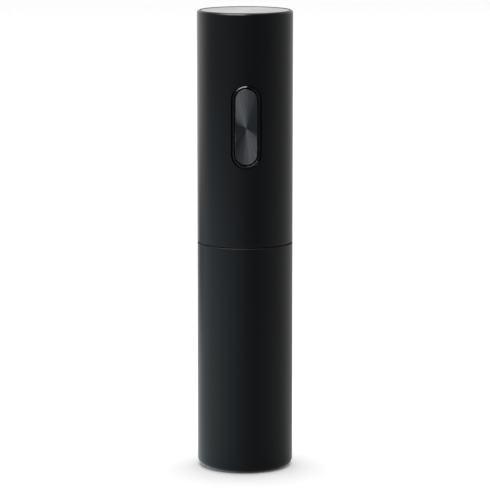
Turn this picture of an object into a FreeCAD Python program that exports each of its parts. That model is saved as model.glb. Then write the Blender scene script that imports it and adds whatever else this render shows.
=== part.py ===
"""Electric wine opener: a rechargeable corkscrew in a black cylinder.

Frame: millimetres, +Z up, origin at the centre of the base, -Y is the front with the button.
The barrel splits at a seam at mid-height. Above it are the cells, the boards, the motor and a
three-stage planetary gearbox; below it hang the corkscrew and the bottle-neck guide.
"""
import FreeCAD, Part
import math
import os

V = FreeCAD.Vector
Z_AXIS = V(0, 0, 1)
ORIGIN = V(0, 0, 0)

# ---- overall form ----
HEIGHT = 229.0
BODY_R = 23.75
WALL = 2.0
INNER_R = BODY_R - WALL
SEAM_Z = 113.5
SEAM_GAP = 0.42
SEAM_ROUND = 0.28
BASE_FILLET = 3.6
TOP_FILLET = 1.3
FIT_GAP = 0.05

# ---- top of the barrel ----
TOP_WALL_Z = 225.2
TOP_WALL = 2.5
PLATE_T = 0.85
PLATE_SINK = 0.25
PLATE_R = 22.0
TOP_SCREW_Y = 15.5

# ---- button in the front window: width along X and height along Z ----
BUTTON_Z = 173.3
WINDOW_W, WINDOW_H = 15.1, 41.6
BEAD_W, BEAD_H = 13.9, 40.4
BUTTON_HOLE_W, BUTTON_HOLE_H = 12.2, 38.7
BUTTON_W, BUTTON_H = 10.8, 37.2
BEAD_R = 23.35
GROOVE_R = 22.3
FLANGE_R = INNER_R - FIT_GAP
FLANGE_T = 1.45
FLANGE_LAP = 1.8
BEAD_SLOPE_DEEP, BEAD_SLOPE_WIDE = 0.3, 0.58
BEAD_ROUND = 0.12
BUTTON_FACE_Y = -22.95
BUTTON_PLATE_T = 0.6
ROCKER_T = 1.45
ROCKER_PIN_Y = -19.1
ROCKER_PIN_R = 0.75
ROCKER_FOOT_R = 1.6
ROCKER_FOOT_Y = -18.3
SWITCH_PITCH = 20.0

# ---- boards ----
BOARD_FRONT_Y = -14.8
BOARD_T = 1.2
BOARD_HALF_W = 11.0
BOARD_Z0, BOARD_Z1 = 142.5, 210.0
SWITCH_SIZE = 6.0
SWITCH_FRONT_Y = -17.4
PLUNGER_R = 1.7
PLUNGER_TIP_Y = -18.2
USB_Z = 197.4
USB_W, USB_H = 8.94, 3.16
USB_MOUTH_Y = 22.9
USB_DEPTH = 7.3
USB_WALL = 0.3
LIGHT_Z = 205.5
LIGHT_R = 1.0

# ---- cells and their frame ----
CELL_R = 7.0
CELL_LENGTH = 43.0
CELL_Z0 = 180.3
CELL_X = 7.1
FRAME_FLOOR_Z = 178.0
FRAME_FLOOR_T = 2.0
FRAME_R = 21.4
FRAME_TOP_Z = 223.5
FRAME_TOP_T = 1.6
LEG_X0, LEG_X1 = 13.2, 15.0
FOOT_X1 = 19.0
FRAME_SCREW_X = 17.0

# ---- motor ----
MOTOR_Z0 = 142.0
MOTOR_LENGTH = 30.8
MOTOR_R = 12.2
CAN_T = 0.8
MOTOR_SHAFT_R = 1.15
ARMATURE_R = 8.6
ARMATURE_Z0, ARMATURE_Z1 = 150.0, 164.0
COMMUTATOR_Z0 = ARMATURE_Z1 + 2.4
MOTOR_SCREW_X = 8.0

# ---- gearbox: three equal stages, ring gear fixed ----
MODULE = 0.7
SUN_TEETH, PLANET_TEETH, RING_TEETH = 12, 15, 42
PRESSURE_DEG = 20.0
ADDENDUM = 0.8 * MODULE
DEDENDUM = 1.05 * MODULE
TOOTH_THIN = 0.06
GEAR_W = 4.0
CARRIER_T = 2.0
LAYER_GAP = 0.3
GEARBOX_R = 18.6
GEARBOX_Z0, GEARBOX_Z1 = 114.0, 140.0
GEARBOX_FLOOR_T = 4.5
GEARBOX_LID_T = 2.0
PIN_R = 1.25
PIN_CLEARANCE = 0.05
CARRIER_R = 12.6
PLANET_ANGLES = (90.0, 210.0, 330.0)
ORBIT_R = MODULE * (SUN_TEETH + PLANET_TEETH) / 2.0

# ---- output shaft, chuck and corkscrew ----
OUTPUT_SHAFT_R = 4.0
OUTPUT_SHAFT_Z0 = 100.3
BEARING_R = 7.0
CHUCK_R = 8.0
CHUCK_Z0, CHUCK_Z1 = 91.5, 109.0
CHUCK_SCREW_Z = 105.0
SHANK_R = 2.5
SHANK_TOP_Z = 99.0
COLLAR_R = 4.9
COLLAR_Z0, COLLAR_Z1 = 87.5, 91.2
HELIX_R = 3.45
HELIX_WIRE_R = 1.35
HELIX_PITCH = 9.5
HELIX_TIP_Z = 17.5
HELIX_POINT = 7.0
POINT_R = 0.25

# ---- middle frame and bottle-neck guide ----
SPIGOT_R = INNER_R - 0.1
SPIGOT_T = 2.2
SPIGOT_Z0, SPIGOT_Z1 = 103.0, 124.0
SEAM_RIB_R = 22.9
BEAD_PROUD = 0.35
DECK_Z0, DECK_Z1 = 110.5, 113.8
LOCK_Z_LOW, LOCK_Z_HIGH = 107.2, 120.0
MOUTH_R = 18.0
MOUTH_LIP_T = 3.0
ENTRY_R = 16.5
ENTRY_Z1 = 15.0
NECK_R = 15.6
SEAT_Z = 47.6
CORK_R = 13.6
GUIDE_WALL = 1.8
GUIDE_FLANGE_R = INNER_R - 0.15
GUIDE_FLANGE_T = 2.0
GUIDE_SOCKET = 4.3
GUIDE_TOP_Z = 108.0
RIB_R = 11.7
RIB_W = 1.2
GEARBOX_SCREW_R = 11.5


# ---- shape helpers ----
def spin(x, y, degrees):
    """A point of the XY plane turned about the origin."""
    a = math.radians(degrees)
    return x * math.cos(a) - y * math.sin(a), x * math.sin(a) + y * math.cos(a)


def rod(radius, z0, z1, x=0.0, y=0.0):
    return Part.makeCylinder(radius, z1 - z0, V(x, y, z0))


def tube(outer_r, inner_r, z0, z1, x=0.0, y=0.0):
    return rod(outer_r, z0, z1, x, y).cut(rod(inner_r, z0 - 1, z1 + 1, x, y))


def rod_along(axis, radius, start, length):
    return Part.makeCylinder(radius, length, V(*start), V(*axis))


def block(x0, x1, y0, y1, z0, z1):
    return Part.makeBox(x1 - x0, y1 - y0, z1 - z0, V(x0, y0, z0))


def outline(start, *steps):
    """A closed wire in the XZ plane. A step is a point, or a pair of points for an arc."""
    edges, at = [], V(start[0], 0, start[1])
    for step in steps:
        if isinstance(step[0], tuple):
            mid, end = (V(p[0], 0, p[1]) for p in step)
            edges.append(Part.Arc(at, mid, end).toShape())
        else:
            end = V(step[0], 0, step[1])
            if end.distanceToPoint(at) < 1e-7:
                continue
            edges.append(Part.makeLine(at, end))
        at = end
    edges.append(Part.makeLine(at, V(start[0], 0, start[1])))
    return Part.Wire(edges)


def turned(start, *steps):
    """A solid of revolution about Z, from an outline of (radius, height) points."""
    return Part.Face(outline(start, *steps)).revolve(ORIGIN, Z_AXIS, 360)


def rounded_corner(radius, centre_x, centre_z, from_deg, to_deg):
    """The two points of an arc step round a corner: its middle and its end."""
    angles = ((from_deg + to_deg) / 2.0, to_deg)
    return tuple(
        (centre_x + radius * math.cos(math.radians(a)), centre_z + radius * math.sin(math.radians(a)))
        for a in angles
    )


def stadium(width, height, y0, y1, z_mid, x_mid=0.0):
    """A round-ended prism along Y. The longer of width (X) and height (Z) is its long way."""
    r = min(width, height) / 2.0
    dx, dz = width / 2.0 - r, height / 2.0 - r
    core = block(x_mid - dx - r * (dx == 0), x_mid + dx + r * (dx == 0), y0, y1,
                 z_mid - dz - r * (dz == 0), z_mid + dz + r * (dz == 0))
    ends = [rod_along((0, 1, 0), r, (x_mid + sx * dx, y0, z_mid + sz * dz), y1 - y0)
            for sx, sz in ((-1, -1), (1, 1))]
    return core.multiFuse(ends).removeSplitter()


def fuse(shapes):
    return shapes[0].multiFuse(shapes[1:]).removeSplitter()


def screw(head_r, head_t, shank_r, length, countersunk=False):
    """A cross-head screw hanging down from its head's top face at z 0."""
    under_r = shank_r if countersunk else head_r
    body = turned((0, 0), (head_r, 0), (under_r, -head_t), (shank_r, -head_t),
                  (shank_r, 0.6 - length), (shank_r * 0.3, -length), (0, -length))
    slot_w, slot_l, slot_d = head_r * 0.22, head_r * 1.1, head_t * 0.55
    for a, b in ((slot_w, slot_l), (slot_l, slot_w)):
        body = body.cut(block(-a / 2, a / 2, -b / 2, b / 2, -slot_d, 1))
    return body


def placed(shape, x, y, z, flip=False):
    """A copy moved to a point, and turned upside down first if flip is set."""
    copy = shape.copy()
    if flip:
        copy.rotate(ORIGIN, V(1, 0, 0), 180)
    copy.translate(V(x, y, z))
    return copy


def wire_lead(radius, points):
    """An insulated lead: straight runs joined by tangent arcs as large as the runs allow."""
    pts = [V(*p) for p in points]
    edges, at, radii = [], pts[0], []
    for before, corner, after in zip(pts, pts[1:], pts[2:]):
        run_in, run_out = corner - before, after - corner
        turn = run_in.getAngle(run_out)
        shorter = min(run_in.Length, run_out.Length)
        setback = 0.45 * shorter
        radii.append(setback / math.tan(turn / 2.0))
        start = corner - V(run_in).normalize() * setback
        end = corner + V(run_out).normalize() * setback
        inward = (V(run_out).normalize() - V(run_in).normalize()).normalize()
        middle = corner + inward * (radii[-1] / math.cos(turn / 2.0) - radii[-1])
        edges += [Part.makeLine(at, start), Part.Arc(start, middle, end).toShape()]
        at = end
    edges.append(Part.makeLine(at, pts[-1]))
    path = Part.Wire(edges)
    ring = Part.Wire(Part.makeCircle(radius, pts[0], pts[1] - pts[0]))
    lead = path.makePipeShell([ring], True, True)
    print("lead radii", [round(r, 1) for r in radii], "length", round(path.Length, 1),
          "volume ratio", round(lead.Volume / (math.pi * radius ** 2 * path.Length), 4))
    return lead


# ---- gears ----
def involute_half_angle(radius, pitch_r, half_pitch_angle):
    """Half of a tooth's angular thickness at a radius, from its value at the pitch circle."""
    base_r = pitch_r * math.cos(math.radians(PRESSURE_DEG))

    def roll(r):
        pressure = math.acos(min(1.0, base_r / r))
        return math.tan(pressure) - pressure

    return half_pitch_angle + roll(pitch_r) - roll(max(radius, base_r))


def gear_wire(teeth, tip_r, root_r, thinning, z):
    """A gear's outline: each flank is an arc through three points of its involute."""
    pitch_r = MODULE * teeth / 2.0
    base_r = pitch_r * math.cos(math.radians(PRESSURE_DEG))
    half_pitch = math.pi / (2 * teeth) - thinning / (2 * pitch_r)
    form_r = max(root_r, base_r)

    def at(radius, angle):
        return V(radius * math.cos(angle), radius * math.sin(angle), z)

    edges = []
    for k in range(teeth):
        centre = 2 * math.pi * k / teeth
        flank = [(r, involute_half_angle(r, pitch_r, half_pitch))
                 for r in (form_r, (form_r + tip_r) / 2.0, tip_r)]
        rise = [at(r, centre - half) for r, half in flank]
        fall = [at(r, centre + half) for r, half in reversed(flank)]
        if root_r < form_r:
            edges.append(Part.makeLine(at(root_r, centre - flank[0][1]), rise[0]))
        edges.append(Part.Arc(*rise).toShape())
        edges.append(Part.Arc(rise[2], at(tip_r, centre), fall[0]).toShape())
        edges.append(Part.Arc(*fall).toShape())
        if root_r < form_r:
            edges.append(Part.makeLine(fall[2], at(root_r, centre + flank[0][1])))
        valley = 2 * math.pi / teeth
        edges.append(Part.Arc(at(root_r, centre + flank[0][1]), at(root_r, centre + valley / 2),
                              at(root_r, centre + valley - flank[0][1])).toShape())
    return Part.Wire(edges)


def spur_gear(teeth, z0, z1):
    pitch_r = MODULE * teeth / 2.0
    wire = gear_wire(teeth, pitch_r + ADDENDUM, pitch_r - DEDENDUM, TOOTH_THIN, z0)
    return Part.Face(wire).extrude(V(0, 0, z1 - z0))


def ring_gear_space(z0, z1):
    """The toothed space inside the fixed ring, turned so that a gap faces each planet."""
    pitch_r = MODULE * RING_TEETH / 2.0
    wire = gear_wire(RING_TEETH, pitch_r + DEDENDUM, pitch_r - ADDENDUM, -TOOTH_THIN, z0)
    space = Part.Face(wire).extrude(V(0, 0, z1 - z0))
    space.rotate(ORIGIN, Z_AXIS, 180.0 / RING_TEETH)
    return space


def stage_levels():
    """Each stage's lowest gear face, from the motor down to the output."""
    top = GEARBOX_Z1 - LAYER_GAP - GEAR_W
    step = GEAR_W + CARRIER_T + 2 * LAYER_GAP
    return [top - step * k for k in range(3)]


def orbit_point(angle):
    return spin(ORBIT_R, 0.0, angle)


def planet(stage_z, angle):
    """One planet wheel in mesh at rest: a gap faces the sun, and a tooth fills the ring's gap."""
    x, y = orbit_point(angle)
    wheel = spur_gear(PLANET_TEETH, stage_z, stage_z + GEAR_W)
    wheel = wheel.cut(rod(PIN_R + PIN_CLEARANCE, stage_z - 1, stage_z + GEAR_W + 1))
    wheel.rotate(ORIGIN, Z_AXIS, angle + 180.0 - 180.0 / PLANET_TEETH)
    wheel.translate(V(x, y, 0))
    return wheel


def carrier_plate(stage_z, thickness):
    """A carrier's plate under its planets, with the three pins that they turn on."""
    z1 = stage_z - LAYER_GAP
    plate = rod(CARRIER_R, z1 - thickness, z1)
    for angle in PLANET_ANGLES:
        x, y = orbit_point(angle + 60.0)
        plate = plate.cut(rod(2.4, z1 - thickness - 1, z1 + 1, x, y))
    pins = [rod(PIN_R, z1 - 0.5, stage_z + GEAR_W - 0.1, *orbit_point(a)) for a in PLANET_ANGLES]
    hubs = [rod(PIN_R + 1.0, z1 - 0.5, stage_z - 0.1, *orbit_point(a)) for a in PLANET_ANGLES]
    return fuse([plate] + pins + hubs)


def carrier_with_sun(stage_z, next_z):
    plate = carrier_plate(stage_z, CARRIER_T)
    return fuse([plate, spur_gear(SUN_TEETH, next_z, stage_z - LAYER_GAP - CARRIER_T + 0.2)])


def output_carrier(stage_z):
    """The last carrier with its flatted output shaft."""
    thickness = CARRIER_T + 0.5
    plate = carrier_plate(stage_z, thickness)
    bottom = stage_z - LAYER_GAP - thickness
    shaft = rod(OUTPUT_SHAFT_R, OUTPUT_SHAFT_Z0, bottom + 0.5)
    flat = block(OUTPUT_SHAFT_R - 0.7, 9, -9, 9, OUTPUT_SHAFT_Z0 - 1, CHUCK_Z1)
    return fuse([plate, shaft.cut(flat)])


def gearbox_housing():
    """The fixed ring gear as a cup, with the bearing seat and four screw bosses in its floor."""
    floor_z = GEARBOX_Z0 + GEARBOX_FLOOR_T
    cup = rod(GEARBOX_R, GEARBOX_Z0, GEARBOX_Z1)
    cup = cup.cut(ring_gear_space(stage_levels()[2] - LAYER_GAP, GEARBOX_Z1 + 1))
    cup = cup.cut(rod(CARRIER_R + 0.8, floor_z, stage_levels()[2]))
    cup = cup.cut(rod(BEARING_R + FIT_GAP, GEARBOX_Z0 - 1, floor_z + 1))
    for x, y in gearbox_screw_points():
        cup = cup.cut(rod(1.25, GEARBOX_Z0 - 1, floor_z - 0.3, x, y))
    for side in (-1, 1):
        cup = cup.cut(rod(0.95, GEARBOX_Z1 - 6.5, GEARBOX_Z1 + 1, side * FRAME_SCREW_X, 0))
    return cup


def gearbox_screw_points():
    return [spin(GEARBOX_SCREW_R, 0.0, a) for a in (45, 135, 225, 315)]


def gearbox_lid():
    """The plate between gearbox and motor: the motor is screwed to it from below."""
    lid = rod(GEARBOX_R, GEARBOX_Z1, GEARBOX_Z1 + GEARBOX_LID_T)
    lid = lid.cut(rod(3.3, GEARBOX_Z1 - 1, MOTOR_Z0 + 1))
    sink = turned((0, 0), (2.4, 0), (1.35, 1.3), (1.35, 3), (0, 3))
    for side in (-1, 1):
        lid = lid.cut(placed(sink, side * MOTOR_SCREW_X, 0, GEARBOX_Z1 - 0.01))
        lid = lid.cut(rod(1.15, GEARBOX_Z1 - 1, MOTOR_Z0 + 1, side * FRAME_SCREW_X, 0))
    return lid


def output_bearing():
    """A flanged bronze bush that carries the output shaft."""
    floor_z = GEARBOX_Z0 + GEARBOX_FLOOR_T
    bore = OUTPUT_SHAFT_R + 0.04
    return turned((bore, DECK_Z0 + 0.6), (BEARING_R, DECK_Z0 + 0.6), (BEARING_R, floor_z + 0.02),
                  (BEARING_R + 1.2, floor_z + 0.02), (BEARING_R + 1.2, floor_z + 0.8),
                  (bore, floor_z + 0.8))


# ---- motor ----
def motor_can():
    top = MOTOR_Z0 + MOTOR_LENGTH - 2.0
    inner = MOTOR_R - CAN_T
    r = 1.0
    can = turned(
        (3.1 - 0.5, MOTOR_Z0 - 1.5), (3.1, MOTOR_Z0 - 1.5), (3.1, MOTOR_Z0), (MOTOR_R - r, MOTOR_Z0),
        rounded_corner(r, MOTOR_R - r, MOTOR_Z0 + r, -90, 0), (MOTOR_R, top), (inner, top),
        (inner, MOTOR_Z0 + CAN_T), (2.6, MOTOR_Z0 + CAN_T))
    for side in (-1, 1):
        can = can.cut(rod(1.25, MOTOR_Z0 - 1, MOTOR_Z0 + 2, side * MOTOR_SCREW_X, 0))
        can = can.cut(stadium(3.0, 6.0, side * 11.8 - 2.5, side * 11.8 + 2.5, MOTOR_Z0 + 23.5))
    return can


def motor_end_cap():
    """The plastic end of the motor, with the rear bush seat and two terminal slots."""
    z0, z1 = MOTOR_Z0 + MOTOR_LENGTH - 3.0, MOTOR_Z0 + MOTOR_LENGTH
    inner = MOTOR_R - CAN_T - FIT_GAP
    cap = turned((2.6, z0), (inner, z0), (inner, z1 - 0.95), (MOTOR_R, z1 - 0.95),
                 (MOTOR_R, z1), (3.6, z1), (3.6, z1 + 1.2), (2.6, z1 + 1.2))
    for side in (-1, 1):
        cap = cap.cut(block(side * 8.5 - 0.4, side * 8.5 + 0.4, -1.6, 1.6, z0 - 1, z1 + 1))
    return cap


def motor_terminals():
    """Two solder tabs that pass through the end cap."""
    z1 = MOTOR_Z0 + MOTOR_LENGTH
    tabs = []
    for side in (-1, 1):
        tab = block(side * 8.5 - 0.25, side * 8.5 + 0.25, -1.4, 1.4, z1 - 2.9, z1 + 3.4)
        tab = tab.cut(rod_along((1, 0, 0), 0.6, (side * 8.5 - 1, 0, z1 + 2.2), 2))
        tabs.append(tab)
    return Part.makeCompound(tabs)


def motor_brushes():
    """Two spring arms with carbon pads against the commutator."""
    z0 = COMMUTATOR_Z0 + 0.6
    arms = []
    for side in (-1, 1):
        pad = block(2.85, 4.1, -0.9, 0.9, z0, z0 + 1.6)
        arm = block(4.1, 4.4, -0.9, 6.2, z0, z0 + 1.6)
        foot = block(4.4, 7.6, 5.9, 6.2, z0, z0 + 1.6)
        brush = fuse([pad, arm, foot])
        if side < 0:
            brush.rotate(ORIGIN, Z_AXIS, 180)
        arms.append(brush)
    return Part.makeCompound(arms)


def motor_magnets():
    """Two ferrite arcs inside the can."""
    ring = tube(MOTOR_R - CAN_T - FIT_GAP, ARMATURE_R + 0.4, MOTOR_Z0 + 5.5, MOTOR_Z0 + 21.0)
    gap = block(-20, 20, -3.2, 3.2, MOTOR_Z0, MOTOR_Z0 + 25)
    return Part.makeCompound(ring.cut(gap).Solids)


def motor_bushes():
    """Sintered bushes in the can's boss and in the end cap."""
    bore = MOTOR_SHAFT_R + 0.03
    z1 = MOTOR_Z0 + MOTOR_LENGTH
    front = tube(2.55, bore, MOTOR_Z0 - 1.4, MOTOR_Z0 + 1.6)
    rear = tube(2.55, bore, z1 - 2.6, z1 + 1.1)
    return Part.makeCompound([front, rear])


def armature_core():
    """Three T-shaped poles on a hub."""
    hub = tube(3.4, MOTOR_SHAFT_R + 0.01, ARMATURE_Z0, ARMATURE_Z1)
    shoe_ring = tube(ARMATURE_R, 6.9, ARMATURE_Z0, ARMATURE_Z1)
    poles = []
    for k in range(3):
        arm = block(3.0, 7.4, -1.3, 1.3, ARMATURE_Z0, ARMATURE_Z1)
        slot = block(5.0, 10.0, -0.9, 0.9, ARMATURE_Z0 - 1, ARMATURE_Z1 + 1)
        slot.rotate(ORIGIN, Z_AXIS, 60 + 120 * k)
        arm.rotate(ORIGIN, Z_AXIS, 120 * k)
        poles.append(arm)
        shoe_ring = shoe_ring.cut(slot)
    return fuse([hub, shoe_ring] + poles)


def armature_windings():
    """One coil round each pole."""
    coils = []
    for k in range(3):
        coil = block(3.6, 6.75, -3.5, 3.5, ARMATURE_Z0 - 1.9, ARMATURE_Z1 + 1.9)
        coil = coil.makeFillet(1.2, [e for e in coil.Edges if abs(e.tangentAt(0).x) > 0.9])
        coil = coil.common(rod(6.85, ARMATURE_Z0 - 3, ARMATURE_Z1 + 3))
        coil = coil.cut(block(3.0, 7.4, -1.35, 1.35, ARMATURE_Z0 - 0.05, ARMATURE_Z1 + 0.05))
        coil.rotate(ORIGIN, Z_AXIS, 120 * k)
        coils.append(coil)
    return Part.makeCompound(coils)




def commutator():
    """A copper drum with three slots between its segments."""
    drum = tube(2.75, MOTOR_SHAFT_R + 0.01, COMMUTATOR_Z0, COMMUTATOR_Z0 + 3.0)
    for k in range(3):
        slot = block(2.1, 3.5, -0.15, 0.15, COMMUTATOR_Z0 - 1, COMMUTATOR_Z0 + 4)
        slot.rotate(ORIGIN, Z_AXIS, 120 * k)
        drum = drum.cut(slot)
    return drum


def sun_pinion():
    """The first sun gear, pressed on the motor shaft."""
    z = stage_levels()[0]
    return spur_gear(SUN_TEETH, z, z + GEAR_W).cut(rod(MOTOR_SHAFT_R + 0.01, z - 1, z + GEAR_W + 1))


# ---- outer shells ----
def button_window(width, height):
    return stadium(width, height, -BODY_R - 2, -12.0, BUTTON_Z)


def upper_shell():
    """The upper barrel, closed at the top by a sunk deck that takes the metal plate."""
    z0 = SEAM_Z + SEAM_GAP / 2
    deck = TOP_WALL_Z + TOP_WALL
    rim_r = PLATE_R + 0.15
    shell = turned(
        (INNER_R + 0.3, z0), (BODY_R - SEAM_ROUND, z0),
        rounded_corner(SEAM_ROUND, BODY_R - SEAM_ROUND, z0 + SEAM_ROUND, -90, 0),
        (BODY_R, HEIGHT - TOP_FILLET),
        rounded_corner(TOP_FILLET, BODY_R - TOP_FILLET, HEIGHT - TOP_FILLET, 0, 90),
        (rim_r, HEIGHT), (rim_r, deck), (0, deck), (0, TOP_WALL_Z), (INNER_R, TOP_WALL_Z),
        (INNER_R, LOCK_Z_HIGH + 0.9), (INNER_R + BEAD_PROUD, LOCK_Z_HIGH + 0.5),
        (INNER_R + BEAD_PROUD, LOCK_Z_HIGH - 0.5), (INNER_R, LOCK_Z_HIGH - 0.9), (INNER_R, z0 + 0.3))
    shell = shell.cut(button_window(WINDOW_W, WINDOW_H))
    shell = shell.cut(stadium(USB_W + 0.5, USB_H + 0.5, 15.0, BODY_R + 1, USB_Z))
    shell = shell.cut(rod_along((0, 1, 0), LIGHT_R + 0.05, (0, 15.0, LIGHT_Z), 12))
    sink = turned((0, 1), (2.75, 1), (2.75, 0), (1.3, -1.5), (1.3, -4), (0, -4))
    for side in (-1, 1):
        shell = shell.cut(placed(sink, 0, side * TOP_SCREW_Y, deck))
    return shell


def lower_sleeve():
    """The lower barrel, with a rounded base and an inward lip round the bottle mouth."""
    z1 = SEAM_Z - SEAM_GAP / 2
    lead = 0.8
    return turned(
        (MOUTH_R + lead, 0), (BODY_R - BASE_FILLET, 0),
        rounded_corner(BASE_FILLET, BODY_R - BASE_FILLET, BASE_FILLET, -90, 0),
        (BODY_R, z1 - SEAM_ROUND), rounded_corner(SEAM_ROUND, BODY_R - SEAM_ROUND, z1 - SEAM_ROUND, 0, 90),
        (INNER_R + 0.3, z1), (INNER_R, z1 - 0.3),
        (INNER_R, LOCK_Z_LOW + 0.9), (INNER_R + BEAD_PROUD, LOCK_Z_LOW + 0.5),
        (INNER_R + BEAD_PROUD, LOCK_Z_LOW - 0.5), (INNER_R, LOCK_Z_LOW - 0.9),
        (INNER_R, MOUTH_LIP_T), (MOUTH_R, MOUTH_LIP_T), (MOUTH_R, lead))


def top_plate():
    """The thin round metal plate in the top of the barrel."""
    z1 = HEIGHT - PLATE_SINK
    edge = 0.2
    return turned((0, z1 - PLATE_T), (PLATE_R, z1 - PLATE_T), (PLATE_R, z1 - edge),
                  (PLATE_R - edge, z1), (0, z1))


def top_screws():
    body = screw(2.6, 1.45, 1.2, 9.0, countersunk=True)
    z = TOP_WALL_Z + TOP_WALL - 0.02
    return Part.makeCompound([placed(body, 0, side * TOP_SCREW_Y, z) for side in (-1, 1)])


def middle_frame():
    """The ring that joins both shells, with the deck that carries the gearbox."""
    rib0, rib1 = SEAM_Z - SEAM_GAP / 2 + 0.03, SEAM_Z + SEAM_GAP / 2 - 0.03
    bead = INNER_R + BEAD_PROUD - 0.1
    inner = SPIGOT_R - SPIGOT_T
    frame = turned(
        (inner, SPIGOT_Z0), (SPIGOT_R - 0.4, SPIGOT_Z0), (SPIGOT_R, SPIGOT_Z0 + 0.6),
        (SPIGOT_R, LOCK_Z_LOW - 0.8), (bead, LOCK_Z_LOW - 0.4), (bead, LOCK_Z_LOW + 0.4),
        (SPIGOT_R, LOCK_Z_LOW + 0.8), (SPIGOT_R, rib0), (SEAM_RIB_R, rib0), (SEAM_RIB_R, rib1),
        (SPIGOT_R, rib1), (SPIGOT_R, LOCK_Z_HIGH - 0.8), (bead, LOCK_Z_HIGH - 0.4),
        (bead, LOCK_Z_HIGH + 0.4), (SPIGOT_R, LOCK_Z_HIGH + 0.8), (SPIGOT_R, SPIGOT_Z1 - 0.6),
        (SPIGOT_R - 0.4, SPIGOT_Z1), (inner, SPIGOT_Z1))
    deck = rod(inner + 0.5, DECK_Z0, DECK_Z1).cut(rod(BEARING_R + 0.3, DECK_Z0 - 1, DECK_Z1 + 1))
    for x, y in gearbox_screw_points():
        deck = deck.cut(rod(1.4, DECK_Z0 - 1, DECK_Z1 + 1, x, y))
        deck = deck.cut(rod(2.5, DECK_Z0 - 1, DECK_Z0 + 1.2, x, y))
    return fuse([frame, deck])


def gearbox_screws():
    body = screw(2.3, 1.1, 1.2, 7.2)
    return Part.makeCompound([placed(body, x, y, DECK_Z0 + 0.05, flip=True)
                              for x, y in gearbox_screw_points()])


def motor_screws():
    body = screw(2.2, 1.15, 1.15, 4.6, countersunk=True)
    return Part.makeCompound([placed(body, side * MOTOR_SCREW_X, 0, GEARBOX_Z1 + 0.05, flip=True)
                              for side in (-1, 1)])


def neck_guide():
    """The liner that the bottle neck enters, with two flanges that centre it in the barrel."""
    z0 = MOUTH_LIP_T + FIT_GAP
    collar_z1 = SEAT_Z - GUIDE_SOCKET - FIT_GAP
    wall_r = ENTRY_R + GUIDE_WALL
    return turned(
        (ENTRY_R, z0), (GUIDE_FLANGE_R, z0), (GUIDE_FLANGE_R, z0 + GUIDE_FLANGE_T),
        (wall_r, z0 + GUIDE_FLANGE_T), (wall_r, collar_z1 - GUIDE_FLANGE_T),
        (GUIDE_FLANGE_R, collar_z1 - GUIDE_FLANGE_T), (GUIDE_FLANGE_R, collar_z1), (wall_r, collar_z1),
        (wall_r, SEAT_Z - FIT_GAP), (NECK_R, SEAT_Z - FIT_GAP), (NECK_R, ENTRY_Z1 + 4.0),
        (ENTRY_R, ENTRY_Z1))


def cork_guide():
    """The ribbed tube above the seat, where the cork is drawn up and kept from turning."""
    socket_r = ENTRY_R + GUIDE_WALL + FIT_GAP
    skirt_r = socket_r + GUIDE_WALL
    wall_r = CORK_R + GUIDE_WALL
    top_flange_z = SPIGOT_Z0 - 0.1
    guide = turned(
        (CORK_R, SEAT_Z), (socket_r, SEAT_Z), (socket_r, SEAT_Z - GUIDE_SOCKET),
        (skirt_r, SEAT_Z - GUIDE_SOCKET), (skirt_r, SEAT_Z + 1.2), (skirt_r - 0.8, SEAT_Z + 2.0),
        (wall_r + 1.2, SEAT_Z + 2.0), (wall_r, SEAT_Z + 4.5), (wall_r, top_flange_z - 2.0),
        (GUIDE_FLANGE_R, top_flange_z - 2.0), (GUIDE_FLANGE_R, top_flange_z), (wall_r, top_flange_z),
        (wall_r, GUIDE_TOP_Z), (CORK_R, GUIDE_TOP_Z))
    rib_z0, rib_z1 = SEAT_Z + 1.0, SPIGOT_Z0 - 16.0
    ribs = []
    for k in range(6):
        rib = block(RIB_R, CORK_R + 0.6, -RIB_W / 2, RIB_W / 2, rib_z0, rib_z1)
        lead = Part.Face(outline((RIB_R - 1, rib_z0 - 1), (CORK_R, rib_z0 - 1), (RIB_R - 1, rib_z0 + 6)))
        rib = rib.cut(lead.extrude(V(0, 4, 0)).translated(V(0, -2, 0)))
        rib.rotate(ORIGIN, Z_AXIS, 30 + 60 * k)
        ribs.append(rib)
    return fuse([guide] + ribs)


def seat_ring():
    """The soft ring under the shoulder that the bottle's lip presses on."""
    outer = NECK_R - 0.05
    z1 = SEAT_Z - 0.05
    return turned((CORK_R + 0.1, z1 - 1.4), (CORK_R + 0.7, z1 - 2.0), (outer - 0.5, z1 - 2.0),
                  (outer, z1 - 1.5), (outer, z1), (CORK_R + 0.1, z1))


# ---- output end ----
def auger_chuck():
    """The hub that clamps the output shaft above and the corkscrew's shank below."""
    edge = 0.6
    hub = turned((0, CHUCK_Z0), (CHUCK_R - edge, CHUCK_Z0), (CHUCK_R, CHUCK_Z0 + edge),
                 (CHUCK_R, CHUCK_Z1 - edge), (CHUCK_R - edge, CHUCK_Z1), (0, CHUCK_Z1))
    hub = hub.cut(rod(SHANK_R + 0.02, CHUCK_Z0 - 1, SHANK_TOP_Z + 0.2))
    hub = hub.cut(rod(OUTPUT_SHAFT_R + 0.03, OUTPUT_SHAFT_Z0 - 0.3, CHUCK_Z1 + 1))
    hub = hub.cut(rod_along((1, 0, 0), 1.55, (2, 0, CHUCK_SCREW_Z), 8))
    grooves = [block(CHUCK_R - 0.5, CHUCK_R + 1, -0.5, 0.5, CHUCK_Z0 - 1, CHUCK_Z1 + 1)
               for _ in range(12)]
    for k, groove in enumerate(grooves):
        groove.rotate(ORIGIN, Z_AXIS, 15 + 30 * k)
    return hub.cut(fuse(grooves[:1]).multiFuse(grooves[1:]))


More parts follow.
